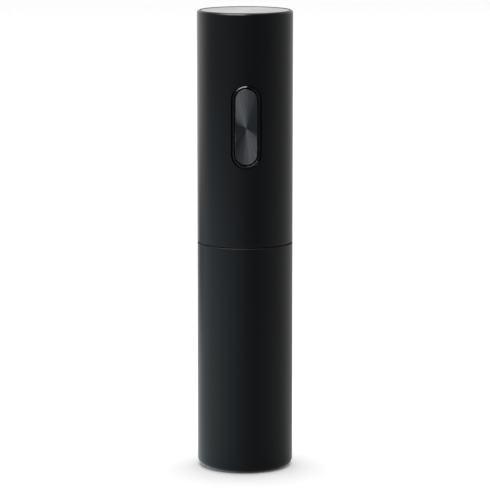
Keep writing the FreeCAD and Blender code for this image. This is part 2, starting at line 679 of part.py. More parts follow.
def chuck_set_screw():
    """The headless screw that bears on the flat of the output shaft."""
    start = OUTPUT_SHAFT_R - 0.7 + 0.03
    body = rod_along((1, 0, 0), 1.5, (start, 0, CHUCK_SCREW_Z), 4.0)
    hexagon = Part.Wire(Part.makePolygon([
        V(0, *spin(0.85, 0, 60 * k)) for k in range(7)]))
    socket = Part.Face(hexagon).extrude(V(3, 0, 0))
    socket.translate(V(start + 2.6, 0, CHUCK_SCREW_Z))
    return body.cut(socket)


def helix_path(z0, z1, start_deg):
    helix = Part.makeHelix(HELIX_PITCH, z1 - z0, HELIX_R)
    helix.translate(V(0, 0, z0))
    helix.rotate(ORIGIN, Z_AXIS, start_deg)
    return Part.Wire(helix.Edges)


def swept_round(path, start_r, end_r):
    """A round bar along a one-edge path. start_r None keeps end_r all the way."""
    edge = path.Edges[0]
    shell = Part.BRepOffsetAPI.MakePipeShell(path)
    shell.setFrenetMode(True)
    for at, radius in ((edge.FirstParameter, start_r), (edge.LastParameter, end_r)):
        if radius:
            ring = Part.makeCircle(radius, edge.valueAt(at), edge.tangentAt(at))
            shell.add(Part.Wire(ring), False, False)
    shell.build()
    shell.makeSolid()
    return shell.shape()


def corkscrew():
    """A right-hand open helix with a sharpened tip, under its collar and shank."""
    full_z = HELIX_TIP_Z + HELIX_POINT
    top = COLLAR_Z0 + 1.8
    bar = swept_round(helix_path(full_z, top, 0), None, HELIX_WIRE_R)
    point = swept_round(helix_path(HELIX_TIP_Z, full_z, -360 * HELIX_POINT / HELIX_PITCH),
                        POINT_R, HELIX_WIRE_R)
    collar = turned((0, COLLAR_Z0), (COLLAR_R - 0.6, COLLAR_Z0), (COLLAR_R, COLLAR_Z0 + 0.6),
                    (COLLAR_R, COLLAR_Z1), (SHANK_R, COLLAR_Z1), (SHANK_R, SHANK_TOP_Z), (0, SHANK_TOP_Z))
    return fuse([collar, bar, point])


# ---- button ----
def front_edges(ring):
    """Edges of a ring that lie in the bead's front surface."""
    return [e for e in ring.Edges
            if all(abs(math.hypot(v.Point.x, v.Point.y) - BEAD_R) < 1e-3 for v in e.Vertexes)]


def button_bezel():
    """The glossy ring in the window: an outward-sloping bead, a flange behind, and two pivot ears."""
    def layer(width, height, r0, r1):
        z0, z1 = BUTTON_Z - 30, BUTTON_Z + 30
        solid = button_window(width, height).common(tube(r1, r0, z0, z1))
        return solid.cut(button_window(BUTTON_HOLE_W, BUTTON_HOLE_H))

    back_r = FLANGE_R - FLANGE_T
    flange = layer(WINDOW_W + 2 * FLANGE_LAP, WINDOW_H + 2 * FLANGE_LAP, back_r, FLANGE_R)
    step = layer(WINDOW_W - 0.1, WINDOW_H - 0.1, back_r, GROOVE_R)
    bead = layer(BEAD_W, BEAD_H, back_r, BEAD_R)
    middle_w = (BEAD_W + BUTTON_HOLE_W) / 4
    outer = [e for e in front_edges(bead) if max(e.BoundBox.XMax, -e.BoundBox.XMin) > middle_w]
    bead = bead.makeChamfer(BEAD_SLOPE_DEEP, BEAD_SLOPE_WIDE, outer)
    bead = bead.makeFillet(BEAD_ROUND, front_edges(bead))
    ears = []
    for side in (-1, 1):
        x0, x1 = sorted((side * 5.5, side * 7.4))
        ear = block(x0, x1, -20.4, ROCKER_PIN_Y + 1.3, BUTTON_Z - 2.2, BUTTON_Z + 2.2)
        ears.append(ear)
    ring = fuse([flange, step, bead] + ears)
    return ring.cut(rod_along((1, 0, 0), ROCKER_PIN_R + 0.01, (-10, ROCKER_PIN_Y, BUTTON_Z), 20))


def button_plate():
    """The spun metal face of the button."""
    y1 = BUTTON_FACE_Y + BUTTON_PLATE_T
    plate = stadium(BUTTON_W, BUTTON_H, BUTTON_FACE_Y, y1, BUTTON_Z)
    front = [e for e in plate.Edges if all(abs(v.Point.y - BUTTON_FACE_Y) < 1e-6 for v in e.Vertexes)]
    return plate.makeChamfer(0.2, front)


def button_rocker():
    """The rocker behind the plate: a pivot boss in the middle and a foot over each switch."""
    y0 = BUTTON_FACE_Y + BUTTON_PLATE_T
    y1 = y0 + ROCKER_T
    body = stadium(BUTTON_W - 0.4, BUTTON_H - 0.4, y0, y1, BUTTON_Z)
    boss = block(-5.0, 5.0, y1 - 0.3, ROCKER_PIN_Y + 1.2, BUTTON_Z - 2.0, BUTTON_Z + 2.0)
    feet = [rod_along((0, 1, 0), ROCKER_FOOT_R, (0, y1 - 0.3, BUTTON_Z + side * SWITCH_PITCH / 2),
                      ROCKER_FOOT_Y - y1 + 0.3) for side in (-1, 1)]
    rib = block(-0.6, 0.6, y1 - 0.3, ROCKER_PIN_Y - 0.5, BUTTON_Z - 14, BUTTON_Z + 14)
    rocker = fuse([body, boss, rib] + feet)
    return rocker.cut(rod_along((1, 0, 0), ROCKER_PIN_R + 0.05, (-10, ROCKER_PIN_Y, BUTTON_Z), 20))


def rocker_pin():
    return rod_along((1, 0, 0), ROCKER_PIN_R, (-7.2, ROCKER_PIN_Y, BUTTON_Z), 14.4)


# ---- electronics ----
def switch_heights():
    return [BUTTON_Z - SWITCH_PITCH / 2, BUTTON_Z + SWITCH_PITCH / 2]


def tact_switches():
    half = SWITCH_SIZE / 2
    bodies = []
    for z in switch_heights():
        body = block(-half, half, SWITCH_FRONT_Y, BOARD_FRONT_Y - 0.02, z - half, z + half)
        well = rod_along((0, 1, 0), PLUNGER_R + 0.1, (0, SWITCH_FRONT_Y - 1, z), 2.3)
        bodies.append(body.cut(well))
    return Part.makeCompound(bodies)


def switch_plunger(z):
    return rod_along((0, 1, 0), PLUNGER_R, (0, PLUNGER_TIP_Y, z), 1.6)


def control_board():
    """The main board behind the button, held by its edges in the frame's rails."""
    board = block(-BOARD_HALF_W, BOARD_HALF_W, BOARD_FRONT_Y, BOARD_FRONT_Y + BOARD_T,
                  BOARD_Z0, BOARD_Z1)
    for x, z in ((-8.5, BOARD_Z0 + 4), (8.5, BOARD_Z0 + 4)):
        board = board.cut(rod_along((0, 1, 0), 1.0, (x, BOARD_FRONT_Y - 1, z), 4))
    return board


def board_chips():
    """The driver chip, four transistors, capacitors and connectors on the front of the board."""
    front = BOARD_FRONT_Y - 0.02
    z0 = BOARD_Z0
    chips = [block(-3.5, 3.5, front - 1.4, front, z0 + 52.0, z0 + 59.0)]
    for x in (-8.2, -3.6, 1.0, 5.6):
        chips.append(block(x, x + 3.0, front - 1.1, front, z0 + 7.5, z0 + 10.5))
    for x in (-8.2, 8.2):
        chips.append(rod_along((0, -1, 0), 2.0, (x, front, z0 + 17.5), 2.2))
    for k in range(6):
        z = z0 + 44.0 + 2.2 * k
        for x in (-8.8, 8.8):
            chips.append(block(x - 0.8, x + 0.8, front - 0.6, front, z, z + 1.0))
    chips.append(block(-6.0, 6.0, front - 2.6, front, z0 + 62.5, z0 + 66.0))
    return Part.makeCompound(chips)


def charge_board():
    """The small shelf board that carries the charging socket."""
    z1 = USB_Z - USB_H / 2 - 0.02
    board = block(-8.0, 8.0, 8.6, 19.9, z1 - 1.0, z1)
    for side in (-1, 1):
        board = board.cut(rod(1.1, z1 - 3, z1 + 1, side * 6.2, 11.0))
    return board


def usb_shell():
    """The rounded metal shell of the socket, open to the rear of the barrel."""
    y0 = USB_MOUTH_Y - USB_DEPTH
    outer = stadium(USB_W, USB_H, y0, USB_MOUTH_Y, USB_Z)
    inner = stadium(USB_W - 2 * USB_WALL, USB_H - 2 * USB_WALL, y0 + 0.8, USB_MOUTH_Y + 1, USB_Z)
    return outer.cut(inner)


def usb_tongue():
    y0 = USB_MOUTH_Y - USB_DEPTH + 0.82
    return block(-3.35, 3.35, y0, USB_MOUTH_Y - 1.0, USB_Z - 0.35, USB_Z + 0.35)


def charge_light_pipe():
    """The clear pin that brings the charge light through the rear wall."""
    return rod_along((0, 1, 0), LIGHT_R, (0, 16.0, LIGHT_Z), BODY_R - 16.05)


def battery_cell(side):
    """One wrapped cell with its raised contact; the pair is joined in series."""
    x = side * CELL_X
    z0, z1 = CELL_Z0 + 0.35, CELL_Z0 + CELL_LENGTH - 0.35
    r = 0.6
    can = turned((0, z0), (CELL_R - r, z0), rounded_corner(r, CELL_R - r, z0 + r, -90, 0),
                 (CELL_R, z1 - 1.2 - r), rounded_corner(r, CELL_R - r, z1 - 1.2 - r, 0, 90),
                 (2.6, z1 - 1.2), (2.6, z1 - 0.35), (0, z1 - 0.35))
    if side < 0:
        can.rotate(V(0, 0, (z0 + z1 - 0.35) / 2), V(1, 0, 0), 180)
    can.translate(V(x, 0, 0))
    return can


def battery_tabs():
    """Nickel strips across the cell ends: one joins the pair, and two lead away."""
    top = CELL_Z0 + CELL_LENGTH - 0.65
    bottom = CELL_Z0 + 0.05
    bridge = block(-10.0, 10.0, -2.2, 2.2, top, top + 0.25)
    leads = [block(side * CELL_X - 2.2, side * CELL_X + 2.2, -6.0, 2.2, bottom, bottom + 0.25)
             for side in (-1, 1)]
    return Part.makeCompound([bridge] + leads)


def battery_frame():
    """The inner frame: legs down to the gearbox, a floor, cell walls, board rails and a top."""
    floor_z1 = FRAME_FLOOR_Z + FRAME_FLOOR_T
    top_z1 = FRAME_TOP_Z + FRAME_TOP_T
    floor = rod(FRAME_R, FRAME_FLOOR_Z, floor_z1)
    top = rod(FRAME_R, FRAME_TOP_Z, top_z1)
    parts = [floor, top]
    for side in (-1, 1):
        x0, x1 = sorted((side * LEG_X0, side * LEG_X1))
        parts.append(block(x0, x1, -5, 5, MOTOR_Z0 + 0.02, FRAME_FLOOR_Z + 0.5))
        foot0, foot1 = sorted((side * (LEG_X1 - 0.5), side * FOOT_X1))
        foot = block(foot0, foot1, -4, 4, MOTOR_Z0 + 0.02, MOTOR_Z0 + 2.5)
        parts.append(foot.common(rod(GEARBOX_R, MOTOR_Z0, MOTOR_Z0 + 3)))
        wall0, wall1 = sorted((side * 14.4, side * 16.0))
        parts.append(block(wall0, wall1, -7, 7, floor_z1 - 0.5, FRAME_TOP_Z + 0.5))
        rail0, rail1 = sorted((side * 10.1, side * 12.9))
        rail = block(rail0, rail1, -16.2, -12.2, floor_z1 - 0.5, FRAME_TOP_Z + 0.5)
        parts.append(rail)
        parts.append(rod(3.0, FRAME_TOP_Z - 9.0, FRAME_TOP_Z + 0.5, 0, side * TOP_SCREW_Y))
    for side in (-1, 1):
        x0, x1 = sorted((side * 5.6, side * 9.6))
        parts.append(block(x0, x1, 9.4, 12.4, floor_z1 - 0.5, USB_Z - USB_H / 2 - 1.04))
    frame = fuse(parts)
    board_slot = block(-BOARD_HALF_W - 0.1, BOARD_HALF_W + 0.1, BOARD_FRONT_Y - 0.1,
                       BOARD_FRONT_Y + BOARD_T + 0.1, FRAME_FLOOR_Z - 1, BOARD_Z1 + 0.5)
    front_bay = block(-10.1, 10.1, -25, -12.2, FRAME_FLOOR_Z - 1, floor_z1 + 1)
    frame = frame.cut(board_slot).cut(front_bay)
    for side in (-1, 1):
        frame = frame.cut(rod(1.25, FRAME_TOP_Z - 8.0, top_z1 + 1, 0, side * TOP_SCREW_Y))
        frame = frame.cut(rod(2.4, FRAME_FLOOR_Z - 1, floor_z1 + 1, side * FRAME_SCREW_X + side, 0))
        frame = frame.cut(rod(1.15, MOTOR_Z0 - 1, MOTOR_Z0 + 4, side * FRAME_SCREW_X, 0))
        frame = frame.cut(rod(0.85, USB_Z - 8, USB_Z, side * 7.6, 11.0))
    return frame


def frame_screws():
    body = screw(1.7, 1.2, 0.9, 9.6)
    z = MOTOR_Z0 + 2.5 + 1.22
    return Part.makeCompound([placed(body, side * FRAME_SCREW_X, 0, z) for side in (-1, 1)])


def motor_shaft():
    return rod(MOTOR_SHAFT_R, stage_levels()[0], MOTOR_Z0 + MOTOR_LENGTH + 1.6)


def motor_lead(side):
    """A lead from a motor terminal forward to the control board."""
    z = MOTOR_Z0 + MOTOR_LENGTH + 2.2
    back = BOARD_FRONT_Y + BOARD_T + 0.05
    x = side * 8.5
    return wire_lead(0.55, [(x + side * 0.75, 0.0, z), (x + side * 2.2, -2.2, z),
                            (x + side * 2.2, -6.5, z - 0.6), (x - side * 0.5, back + 2.8, z - 3.6),
                            (x - side * 0.5, back, z - 3.6)])


def build():
    levels = stage_levels()
    nodes = {
        "upper_shell": upper_shell(), "lower_sleeve": lower_sleeve(), "top_plate": top_plate(),
        "top_screws": top_screws(), "middle_frame": middle_frame(), "neck_guide": neck_guide(),
        "cork_guide": cork_guide(), "seat_ring": seat_ring(),
        "button_bezel": button_bezel(), "button_plate": button_plate(),
        "button_rocker": button_rocker(), "rocker_pin": rocker_pin(),
        "tact_switches": tact_switches(), "switch_plunger_lower": switch_plunger(switch_heights()[0]),
        "switch_plunger_upper": switch_plunger(switch_heights()[1]),
        "control_board": control_board(), "board_chips": board_chips(),
        "charge_board": charge_board(), "usb_shell": usb_shell(), "usb_tongue": usb_tongue(),
        "charge_light_pipe": charge_light_pipe(),
        "battery_cell_left": battery_cell(-1), "battery_cell_right": battery_cell(1),
        "battery_tabs": battery_tabs(), "battery_frame": battery_frame(),
        "frame_screws": frame_screws(),
        "motor_can": motor_can(), "motor_end_cap": motor_end_cap(),
        "motor_terminals": motor_terminals(), "motor_brushes": motor_brushes(),
        "motor_magnets": motor_magnets(), "motor_bushes": motor_bushes(),
        "motor_screws": motor_screws(), "motor_shaft": motor_shaft(),
        "armature_core": armature_core(), "armature_windings": armature_windings(),
        "commutator": commutator(), "motor_lead_red": motor_lead(1),
        "motor_lead_black": motor_lead(-1),
        "gearbox_housing": gearbox_housing(), "gearbox_lid": gearbox_lid(),
        "gearbox_screws": gearbox_screws(), "output_bearing": output_bearing(),
        "sun_pinion": sun_pinion(), "carrier_1": carrier_with_sun(levels[0], levels[1]),
        "carrier_2": carrier_with_sun(levels[1], levels[2]),
        "output_carrier": output_carrier(levels[2]),
        "auger_chuck": auger_chuck(), "chuck_set_screw": chuck_set_screw(), "corkscrew": corkscrew(),
    }
    for stage, z in enumerate(levels, start=1):
        for letter, angle in zip("abc", PLANET_ANGLES):
            nodes[f"planet_{stage}{letter}"] = planet(z, angle)
    return nodes


def main():
    os.makedirs("parts", exist_ok=True)
    for name, shape in build().items():
        bad = not shape.isValid() or shape.Volume <= 0
        print(f"{name:22s} solids {len(shape.Solids)} faces {len(shape.Faces):4d} "
              f"volume {shape.Volume:9.1f}{'  INVALID' if bad else ''}")
        shape.exportStep(f"parts/{name}.step")


main()
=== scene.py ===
"""The looks of the electric wine opener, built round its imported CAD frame.

Metres, +Z up, front towards -Y. Every CAD piece keeps its shape and gets a procedural material.
The charging socket's contacts are the only piece made here.
"""
import math

import bmesh
import bpy
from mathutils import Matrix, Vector


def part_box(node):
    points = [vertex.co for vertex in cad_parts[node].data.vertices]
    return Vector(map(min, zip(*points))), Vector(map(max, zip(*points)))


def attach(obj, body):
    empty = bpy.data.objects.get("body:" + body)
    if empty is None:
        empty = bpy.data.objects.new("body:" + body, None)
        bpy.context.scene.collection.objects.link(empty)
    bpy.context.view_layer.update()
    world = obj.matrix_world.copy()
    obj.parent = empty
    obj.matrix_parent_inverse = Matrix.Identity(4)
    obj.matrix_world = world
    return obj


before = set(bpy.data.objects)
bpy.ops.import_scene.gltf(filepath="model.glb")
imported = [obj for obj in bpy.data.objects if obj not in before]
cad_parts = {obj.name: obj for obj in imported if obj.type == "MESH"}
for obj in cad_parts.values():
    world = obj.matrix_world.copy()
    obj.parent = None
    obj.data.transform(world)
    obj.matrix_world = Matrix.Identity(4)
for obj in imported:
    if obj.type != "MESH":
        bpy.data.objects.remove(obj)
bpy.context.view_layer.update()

# ---- camera, from the photograph's perspective ----
FRAME_PX = 490.0
SENSOR_MM = 36.0
FOCAL_PX = 2873.6
CAMERA_BACK = 1.417
CAMERA_HEIGHT = 0.337
CAMERA_PITCH_DEG = 9.0415
CAMERA_TURN_DEG = 1.6

# ---- places on the object ----
PLATE_LO, PLATE_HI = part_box("button_plate")
BUTTON_SPIN_DROP = 0.0006
BUTTON_SPIN_CENTRE = (PLATE_LO + PLATE_HI) / 2 - Vector((0, 0, BUTTON_SPIN_DROP))
TOP_LO, TOP_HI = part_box("top_plate")
TOP_CENTRE = (TOP_LO + TOP_HI) / 2
SEAM_Z = (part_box("lower_sleeve")[1].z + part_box("upper_shell")[0].z) / 2

# ---- the coat is duller on the seam's rounded edges, over this distance from the seam ----
DULL_FROM, DULL_TO = 0.0004, 0.0007
DULL_ROUGHNESS = 0.34

# ---- the charging socket's contacts ----
CONTACTS = 12
CONTACT_PITCH = 0.0005
CONTACT_SIZE = (0.00026, 0.0036, 0.00004)
CONTACT_INSET = 0.0006
CONTACT_BEVEL = 0.4 * CONTACT_SIZE[0]
SAME_LENGTH = 1e-7

# ---- stage ----
FLOOR_HALF = 9.0
FLOOR_DROP = 0.0002
WALL_WHITE = 0.95

# What glossy surfaces see round the object: (azimuth in degrees, level, coolness). 0 degrees is the
# front and 90 the right. The floor has three tables, by distance from the object.
NEAR_FLOOR = ((-180, 0.60, 0.0), (-150, 1.00, 0.0), (-122, 0.80, 0.08), (-95, 1.05, 0.13),
              (-60, 0.92, 0.14), (-25, 0.48, 0.14), (5, 0.15, 0.10), (30, 0.15, 0.05),
              (60, 0.27, 0.03), (90, 0.42, 0.0), (120, 0.60, 0.0), (150, 0.44, 0.0),
              (180, 0.50, 0.0))
MID_FLOOR = ((-180, 0.60, 0.0), (-163, 1.30, 0.0), (-144, 0.20, 0.0), (-128, 0.28, 0.05),
             (-113, 0.92, 0.12), (-95, 0.94, 0.13), (-60, 0.92, 0.14), (-25, 0.52, 0.14),
             (5, 0.15, 0.10), (30, 0.12, 0.05), (60, 0.23, 0.03), (90, 0.40, 0.0),
             (120, 0.59, 0.0), (150, 0.49, 0.0), (180, 0.53, 0.0))
FAR_FLOOR = ((-180, 0.60, 0.0), (-150, 1.60, 0.0), (-125, 1.20, 0.02), (-100, 0.30, 0.10),
             (-60, 0.24, 0.14), (-25, 0.15, 0.14), (5, 0.06, 0.10), (30, 0.05, 0.05),
             (60, 0.14, 0.03), (90, 0.36, 0.0), (120, 0.56, 0.0), (150, 0.60, 0.0),
             (180, 0.60, 0.0))
WALLS = ((-180, 0.85, 0.0), (-150, 1.40, 0.0), (-110, 0.45, 0.06), (-60, 0.24, 0.14),
         (-25, 0.13, 0.14), (5, 0.06, 0.10), (30, 0.05, 0.05), (60, 0.14, 0.03), (90, 0.36, 0.0),
         (120, 0.60, 0.0), (150, 0.85, 0.0), (180, 0.85, 0.0))
NEAR_TO_MID = (0.22, 0.62)
MID_TO_FAR = (0.85, 1.50)
BLUE_SHARE = 0.7

# Light boxes: name, size, place, aim, watts, colour.
LIGHTS = (
    ("overhead", (2.2, 1.5), (0.0, 0.6, 2.6), (0.0, 0.4, 0.0), 30.0, (1.0, 1.0, 1.0)),
    ("key", (1.25, 1.00), (-0.52, -1.02, 1.27), (0.0, 0.0, 0.17), 40.0, (0.95, 0.98, 1.0)),
    ("key_wing", (0.55, 0.90), (-1.23, -0.56, 1.27), (0.0, 0.0, 0.17), 7.0, (0.95, 0.98, 1.0)),
    ("high_front", (1.70, 0.80), (-0.52, -0.56, 1.92), (0.0, 0.0, 0.20), 26.0, (0.97, 0.99, 1.0)),
)
REFLECTED_ONLY = ("key", "key_wing", "high_front")

# The RGBA sockets of a Mix node share their names with others, so they go by number.
MIX_A, MIX_B, MIX_RESULT = 6, 7, 2


# ---- node helpers ----
class Nodes:
    """Short ways to add nodes to a tree. An input takes a constant or another node's socket."""

    def __init__(self, tree):
        self.tree = tree

    def link(self, source, target):
        self.tree.links.new(source, target)

    def feed(self, socket, value):
        if isinstance(value, bpy.types.NodeSocket):
            self.link(value, socket)
        else:
            socket.default_value = value

    def node(self, kind, settings=None, **inputs):
        made = self.tree.nodes.new(kind)
        for key, value in (settings or {}).items():
            setattr(made, key, value)
        for key, value in inputs.items():
            self.feed(made.inputs[key.replace("_", " ")], value)
        return made

    def math(self, operation, *values):
        made = self.node("ShaderNodeMath", {"operation": operation})
        for socket, value in zip(made.inputs, values):
            self.feed(socket, value)
        return made.outputs[0]

    def vector(self, operation, *values):
        made = self.node("ShaderNodeVectorMath", {"operation": operation})
        for socket, value in zip(made.inputs, values):
            self.feed(socket, value)
        return made.outputs["Value" if operation == "LENGTH" else "Vector"]

    def blend(self, factor, a, b):
        """Colour a where the factor is 0, and b where it is 1."""
        made = self.node("ShaderNodeMix", {"data_type": "RGBA"}, Factor=factor)
        for index, colour in ((MIX_A, a), (MIX_B, b)):
            is_socket = isinstance(colour, bpy.types.NodeSocket)
            self.feed(made.inputs[index], colour if is_socket else (*colour, 1.0))
        return made.outputs[MIX_RESULT]


class Finish(Nodes):
    """One procedural material: a Principled shader with colour, gloss and relief from noise."""

    def __init__(self, name):
        self.material = bpy.data.materials.new(name)
        self.material.use_nodes = True
        super().__init__(self.material.node_tree)
        self.tree.nodes.clear()
        self.bsdf = self.node("ShaderNodeBsdfPrincipled")
        self.out = self.node("ShaderNodeOutputMaterial", Surface=self.bsdf.outputs["BSDF"])
        self.place = self.node("ShaderNodeTexCoord").outputs["Object"]

    def set(self, **values):
        """Constants on the shader's own sockets."""
        for key, value in values.items():
            self.bsdf.inputs[key.replace("_", " ")].default_value = value

    def noise(self, scale, detail=2.0, roughness=0.5, stretch=None, at=None):
        """Noise with features of about 1/scale metres. stretch scales the three axes."""
        at = at or self.place
        if stretch:
            at = self.vector("MULTIPLY", at, stretch)
        return self.node("ShaderNodeTexNoise", Vector=at, Scale=scale, Detail=detail,
                         Roughness=roughness).outputs["Fac"]

    def spread(self, value, low, high):
        """Noise, which lies between about 0.3 and 0.7, mapped onto low to high."""
        return self.node("ShaderNodeMapRange", Value=value, From_Min=0.3, From_Max=0.7,
                         To_Min=low, To_Max=high).outputs["Result"]

    def weighted(self, a, share, b):
        """a times its share, and b times the rest."""
        return self.math("ADD", self.math("MULTIPLY", a, share),
                         self.math("MULTIPLY", b, 1.0 - share))

    def coordinate(self, axis):
        return self.node("ShaderNodeSeparateXYZ", Vector=self.place).outputs[axis]

    def wave(self, distance, pitch):
        """A sine of a distance, with one wave in each pitch."""
        return self.math("SINE", self.math("MULTIPLY", distance, 2 * math.pi / pitch))

    def rings(self, centre, axis):
        """Distance from an axis through centre, and the unit direction away from it."""
        from_centre = self.vector("SUBTRACT", self.place, tuple(centre))
        flat = self.vector("MULTIPLY", from_centre, tuple(0.0 if a else 1.0 for a in axis))
        return self.vector("LENGTH", flat), self.vector("NORMALIZE", flat)

    def colour(self, factor, a, b):
        self.link(self.blend(factor, a, b), self.bsdf.inputs["Base Color"])

    def roughness(self, value):
        self.link(value, self.bsdf.inputs["Roughness"])

    def relief(self, *layers):
        """Bump layers, each a (height, depth in metres) pair, and then the finished material."""
        normal = None
        for height, depth in layers:
            bump = self.node("ShaderNodeBump", Height=height, Strength=1.0, Distance=depth)
            if normal:
                self.link(normal, bump.inputs["Normal"])
            normal = bump.outputs["Normal"]
        self.link(normal, self.bsdf.inputs["Normal"])
        return self.material


def tint(colour, factor):
    return tuple(min(1.0, c * factor) for c in colour)


# ---- finishes ----
def moulded(name, colour, rough=0.45, ior=1.46, grain=2600.0, depth=6e-6, vary=0.12):
    """Moulded plastic: a fine even texture, slightly cloudy in colour and gloss."""
    f = Finish(name)
    cloud = f.noise(45.0, 3.0)
    fine = f.noise(grain, 2.0, 0.6)
    f.colour(cloud, tint(colour, 1 - vary), tint(colour, 1 + vary))
    f.roughness(f.spread(f.weighted(cloud, 0.6, fine), rough - 0.05, rough + 0.05))
    f.set(IOR=ior)
    return f.relief((fine, depth))


def metal(name, colour, rough=0.3, stretch=(1.0, 1.0, 0.03), scale=5200.0, depth=2e-6):
    """Drawn, rolled or sintered metal: streaks along one direction, with faint clouding."""
    f = Finish(name)
    streak = f.noise(scale, 3.0, 0.6, stretch)
    cloud = f.noise(120.0, 3.0)
    f.colour(cloud, tint(colour, 0.9), tint(colour, 1.1))
    f.roughness(f.spread(f.weighted(streak, 0.7, cloud), rough - 0.07, rough + 0.07))
    f.set(Metallic=1.0)
    return f.relief((streak, depth))


def satin_coat():
    """The barrel's soft satin-black coat: a very fine peel, and faint marks in its gloss."""
    f = Finish("satin_black_coat")
    peel = f.noise(1500.0, 2.0, 0.55)
    fine = f.noise(5200.0, 2.0, 0.6)
    marks = f.noise(38.0, 4.0, 0.6, (1.0, 1.0, 0.55))
    f.colour(marks, (0.0026, 0.0031, 0.0038), (0.0040, 0.0046, 0.0054))
    from_seam = f.math("ABSOLUTE", f.math("SUBTRACT", f.coordinate("Z"), SEAM_Z))
    dull_edge = f.node("ShaderNodeMapRange", Value=from_seam, From_Min=DULL_FROM,
                       From_Max=DULL_TO, To_Min=DULL_ROUGHNESS, To_Max=0.0).outputs["Result"]
    f.roughness(f.math("ADD", f.spread(f.weighted(marks, 0.7, fine), 0.20, 0.26), dull_edge))
    f.set(IOR=1.37)
    return f.relief((peel, 5e-6), (fine, 1.6e-6))


def spun(name, colour, centre, axis, rough, pitch, depth, aniso, vary=0.08, fan=0.10):
    """Metal spun about an axis: fine circular grooves pull its highlights into a bow-tie.

    vary is the change in brightness from groove to groove, and fan the change round the axis.
    """
    f = Finish(name)
    radius, outwards = f.rings(centre, axis)
    groove = f.wave(radius, pitch)
    grooves_out = f.math("MULTIPLY", radius, 1.0 / pitch)
    line_at = f.node("ShaderNodeCombineXYZ", X=grooves_out).outputs["Vector"]
    uneven = f.noise(1.7, 3.0, 0.7, at=line_at)
    streak = f.noise(5.0, 5.0, 0.75, at=outwards)
    grooved = f.blend(uneven, tint(colour, 1 - vary), tint(colour, 1 + vary))
    shade = f.spread(streak, 1 - fan, 1 + fan)
    tone = f.node("ShaderNodeCombineXYZ", X=shade, Y=shade, Z=shade).outputs["Vector"]
    f.link(f.vector("MULTIPLY", grooved, tone), f.bsdf.inputs["Base Color"])
    f.roughness(f.spread(streak, rough - 0.05, rough + 0.05))
    f.set(Metallic=1.0, Anisotropic=aniso)
    f.link(outwards, f.bsdf.inputs["Tangent"])
    return f.relief((f.math("ADD", f.math("MULTIPLY", groove, 0.35), uneven), depth))


def gloss_ring():
    """Polished black plastic, faintly wavy."""
    f = Finish("gloss_black")
    wave = f.noise(300.0, 2.0)
    f.colour(wave, (0.0035, 0.0035, 0.0040), (0.0060, 0.0060, 0.0068))
    f.roughness(f.spread(f.noise(4200.0, 3.0, 0.7), 0.08, 0.14))
    f.set(IOR=1.50)
    return f.relief((wave, 3e-6))


def clear_pin():
    """Frosted clear plastic."""
    f = Finish("frosted_clear")
    haze = f.noise(900.0, 3.0)
    f.colour(haze, (0.80, 0.82, 0.84), (0.90, 0.92, 0.94))
    f.roughness(f.spread(haze, 0.18, 0.30))
    f.set(IOR=1.49, Transmission_Weight=0.55)
    return f.relief((haze, 4e-6))


def shrink_wrap():
    """Heat-shrunk film: long soft wrinkles up the cell."""
    f = Finish("cell_wrap_blue")
    wrinkle = f.noise(260.0, 3.0, 0.5, (1.0, 1.0, 0.18))
    f.colour(wrinkle, (0.012, 0.075, 0.20), (0.020, 0.105, 0.26))
    f.roughness(f.spread(wrinkle, 0.24, 0.34))
    f.set(IOR=1.48, Coat_Weight=0.3)
    return f.relief((wrinkle, 2.4e-5))


def solder_mask():
    """Board lacquer over faint straight copper tracks, which run one way in each patch."""
    f = Finish("board_lacquer")
    upright, level = (f.math("GREATER_THAN", f.wave(f.coordinate(axis), pitch), 0.35)
                      for axis, pitch in (("X", 0.0013), ("Z", 0.0021)))
    patch = f.math("GREATER_THAN", f.noise(330.0, 0.0), 0.5)
    track = f.math("ADD", f.math("MULTIPLY", upright, patch),
                   f.math("MULTIPLY", level, f.math("SUBTRACT", 1.0, patch)))
    f.colour(track, (0.008, 0.075, 0.028), (0.018, 0.130, 0.050))
    f.roughness(f.spread(f.noise(2000.0), 0.26, 0.36))
    f.set(IOR=1.52)
    return f.relief((track, 1.5e-5))


def enamelled_wire():
    """Copper magnet wire laid side by side."""
    f = Finish("enamelled_copper")
    f.colour(f.noise(900.0, 3.0), (0.42, 0.13, 0.045), (0.62, 0.22, 0.085))
    f.roughness(f.spread(f.noise(1600.0), 0.24, 0.36))
    f.set(Metallic=1.0, Coat_Weight=0.4)
    return f.relief((f.wave(f.coordinate("Z"), 0.0004), 4e-5))


def laminated_steel():
    """A stack of thin steel sheets."""
    f = Finish("laminated_steel")
    f.colour(f.noise(700.0, 3.0), (0.20, 0.20, 0.21), (0.34, 0.34, 0.35))
    f.roughness(f.spread(f.noise(2200.0), 0.36, 0.48))
    f.set(Metallic=1.0)
    return f.relief((f.wave(f.coordinate("Z"), 0.0005), 2e-5))


def soft_rubber():
    """Matt silicone with a little dust."""
    f = Finish("soft_silicone")
    dust = f.noise(3800.0, 2.0)
    f.colour(f.noise(160.0, 3.0), (0.030, 0.030, 0.033), (0.046, 0.046, 0.050))
    f.roughness(f.spread(dust, 0.58, 0.70))
    f.set(IOR=1.42, Sheen_Weight=0.2)
    return f.relief((dust, 8e-6))


EVEN = (1.0, 1.0, 1.0)
ALONG_X = (0.05, 1.0, 1.0)
ALONG_Y = (1.0, 0.05, 1.0)


